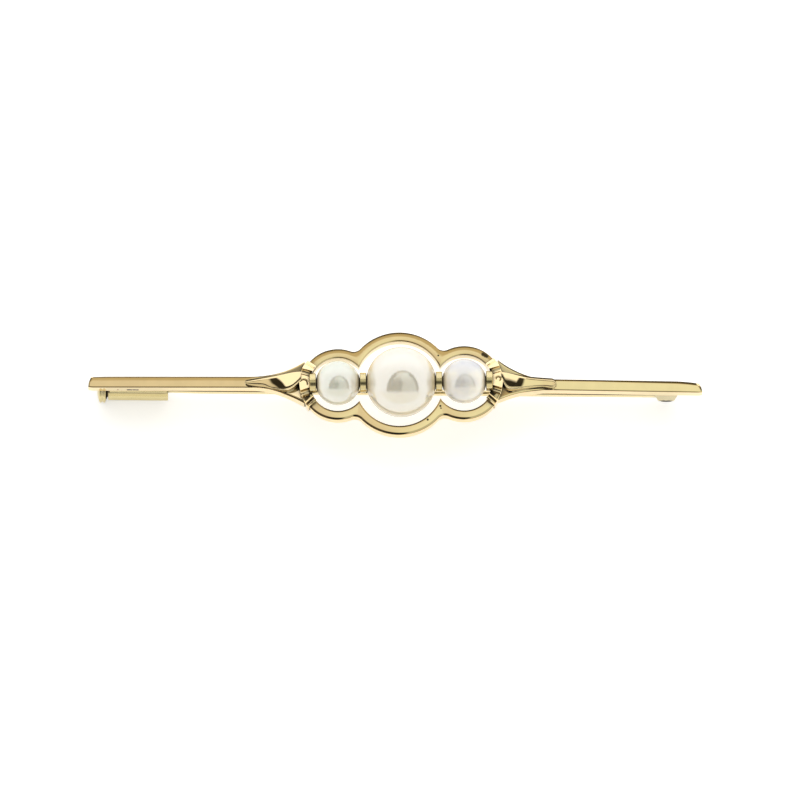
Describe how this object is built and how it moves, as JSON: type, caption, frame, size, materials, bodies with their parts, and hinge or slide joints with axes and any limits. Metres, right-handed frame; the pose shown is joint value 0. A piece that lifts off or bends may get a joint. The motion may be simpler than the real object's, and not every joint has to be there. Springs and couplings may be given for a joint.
{
  "type": "pearl brooch",
  "caption": "Slim gold bar brooch with a row of pearls in an open lobed frame, a hinged pin and a pull-out tube catch.",
  "frame": {"origin": "centre of the footprint, on the surface that the brooch lies on", "axes": "+X along the bar towards the hinge, +Y up the face as worn, +Z out of the face"},
  "size_m": [0.054, 0.0094, 0.0077],
  "materials": {
    "gold": "polished yellow gold with fine wear lines",
    "gold_pin": "drawn yellow gold wire, satin along its length",
    "pearl_cream": "creamy pearl lustre",
    "pearl_green": "white pearl lustre with a faint green cast",
    "pearl_rose": "white pearl lustre with a faint rose cast"
  },
  "bodies": {
    "brooch": {"mount": "gold", "pearl_middle": "pearl_cream", "pearl_left": "pearl_green", "pearl_right": "pearl_rose", "spacer_1": "gold", "spacer_2": "gold", "spacer_3": "gold", "spacer_4": "gold", "pearl_wire": "gold", "hinge_rivet": "gold_pin"},
    "pin": {"pin_stem": "gold_pin"},
    "catch": {"catch_slide": "gold"}
  },
  "joints": [
    {"name": "pin_hinge", "type": "hinge", "parent": "brooch", "child": "pin", "pos_m": [0.02384, 0, 0.0011], "axis": [0, -1, 0], "range_deg": [0, 80]},
    {"name": "catch_pull", "type": "slide", "parent": "brooch", "child": "catch", "axis": [-1, 0, 0], "range_m": [0, 0.0046]}
  ]
}
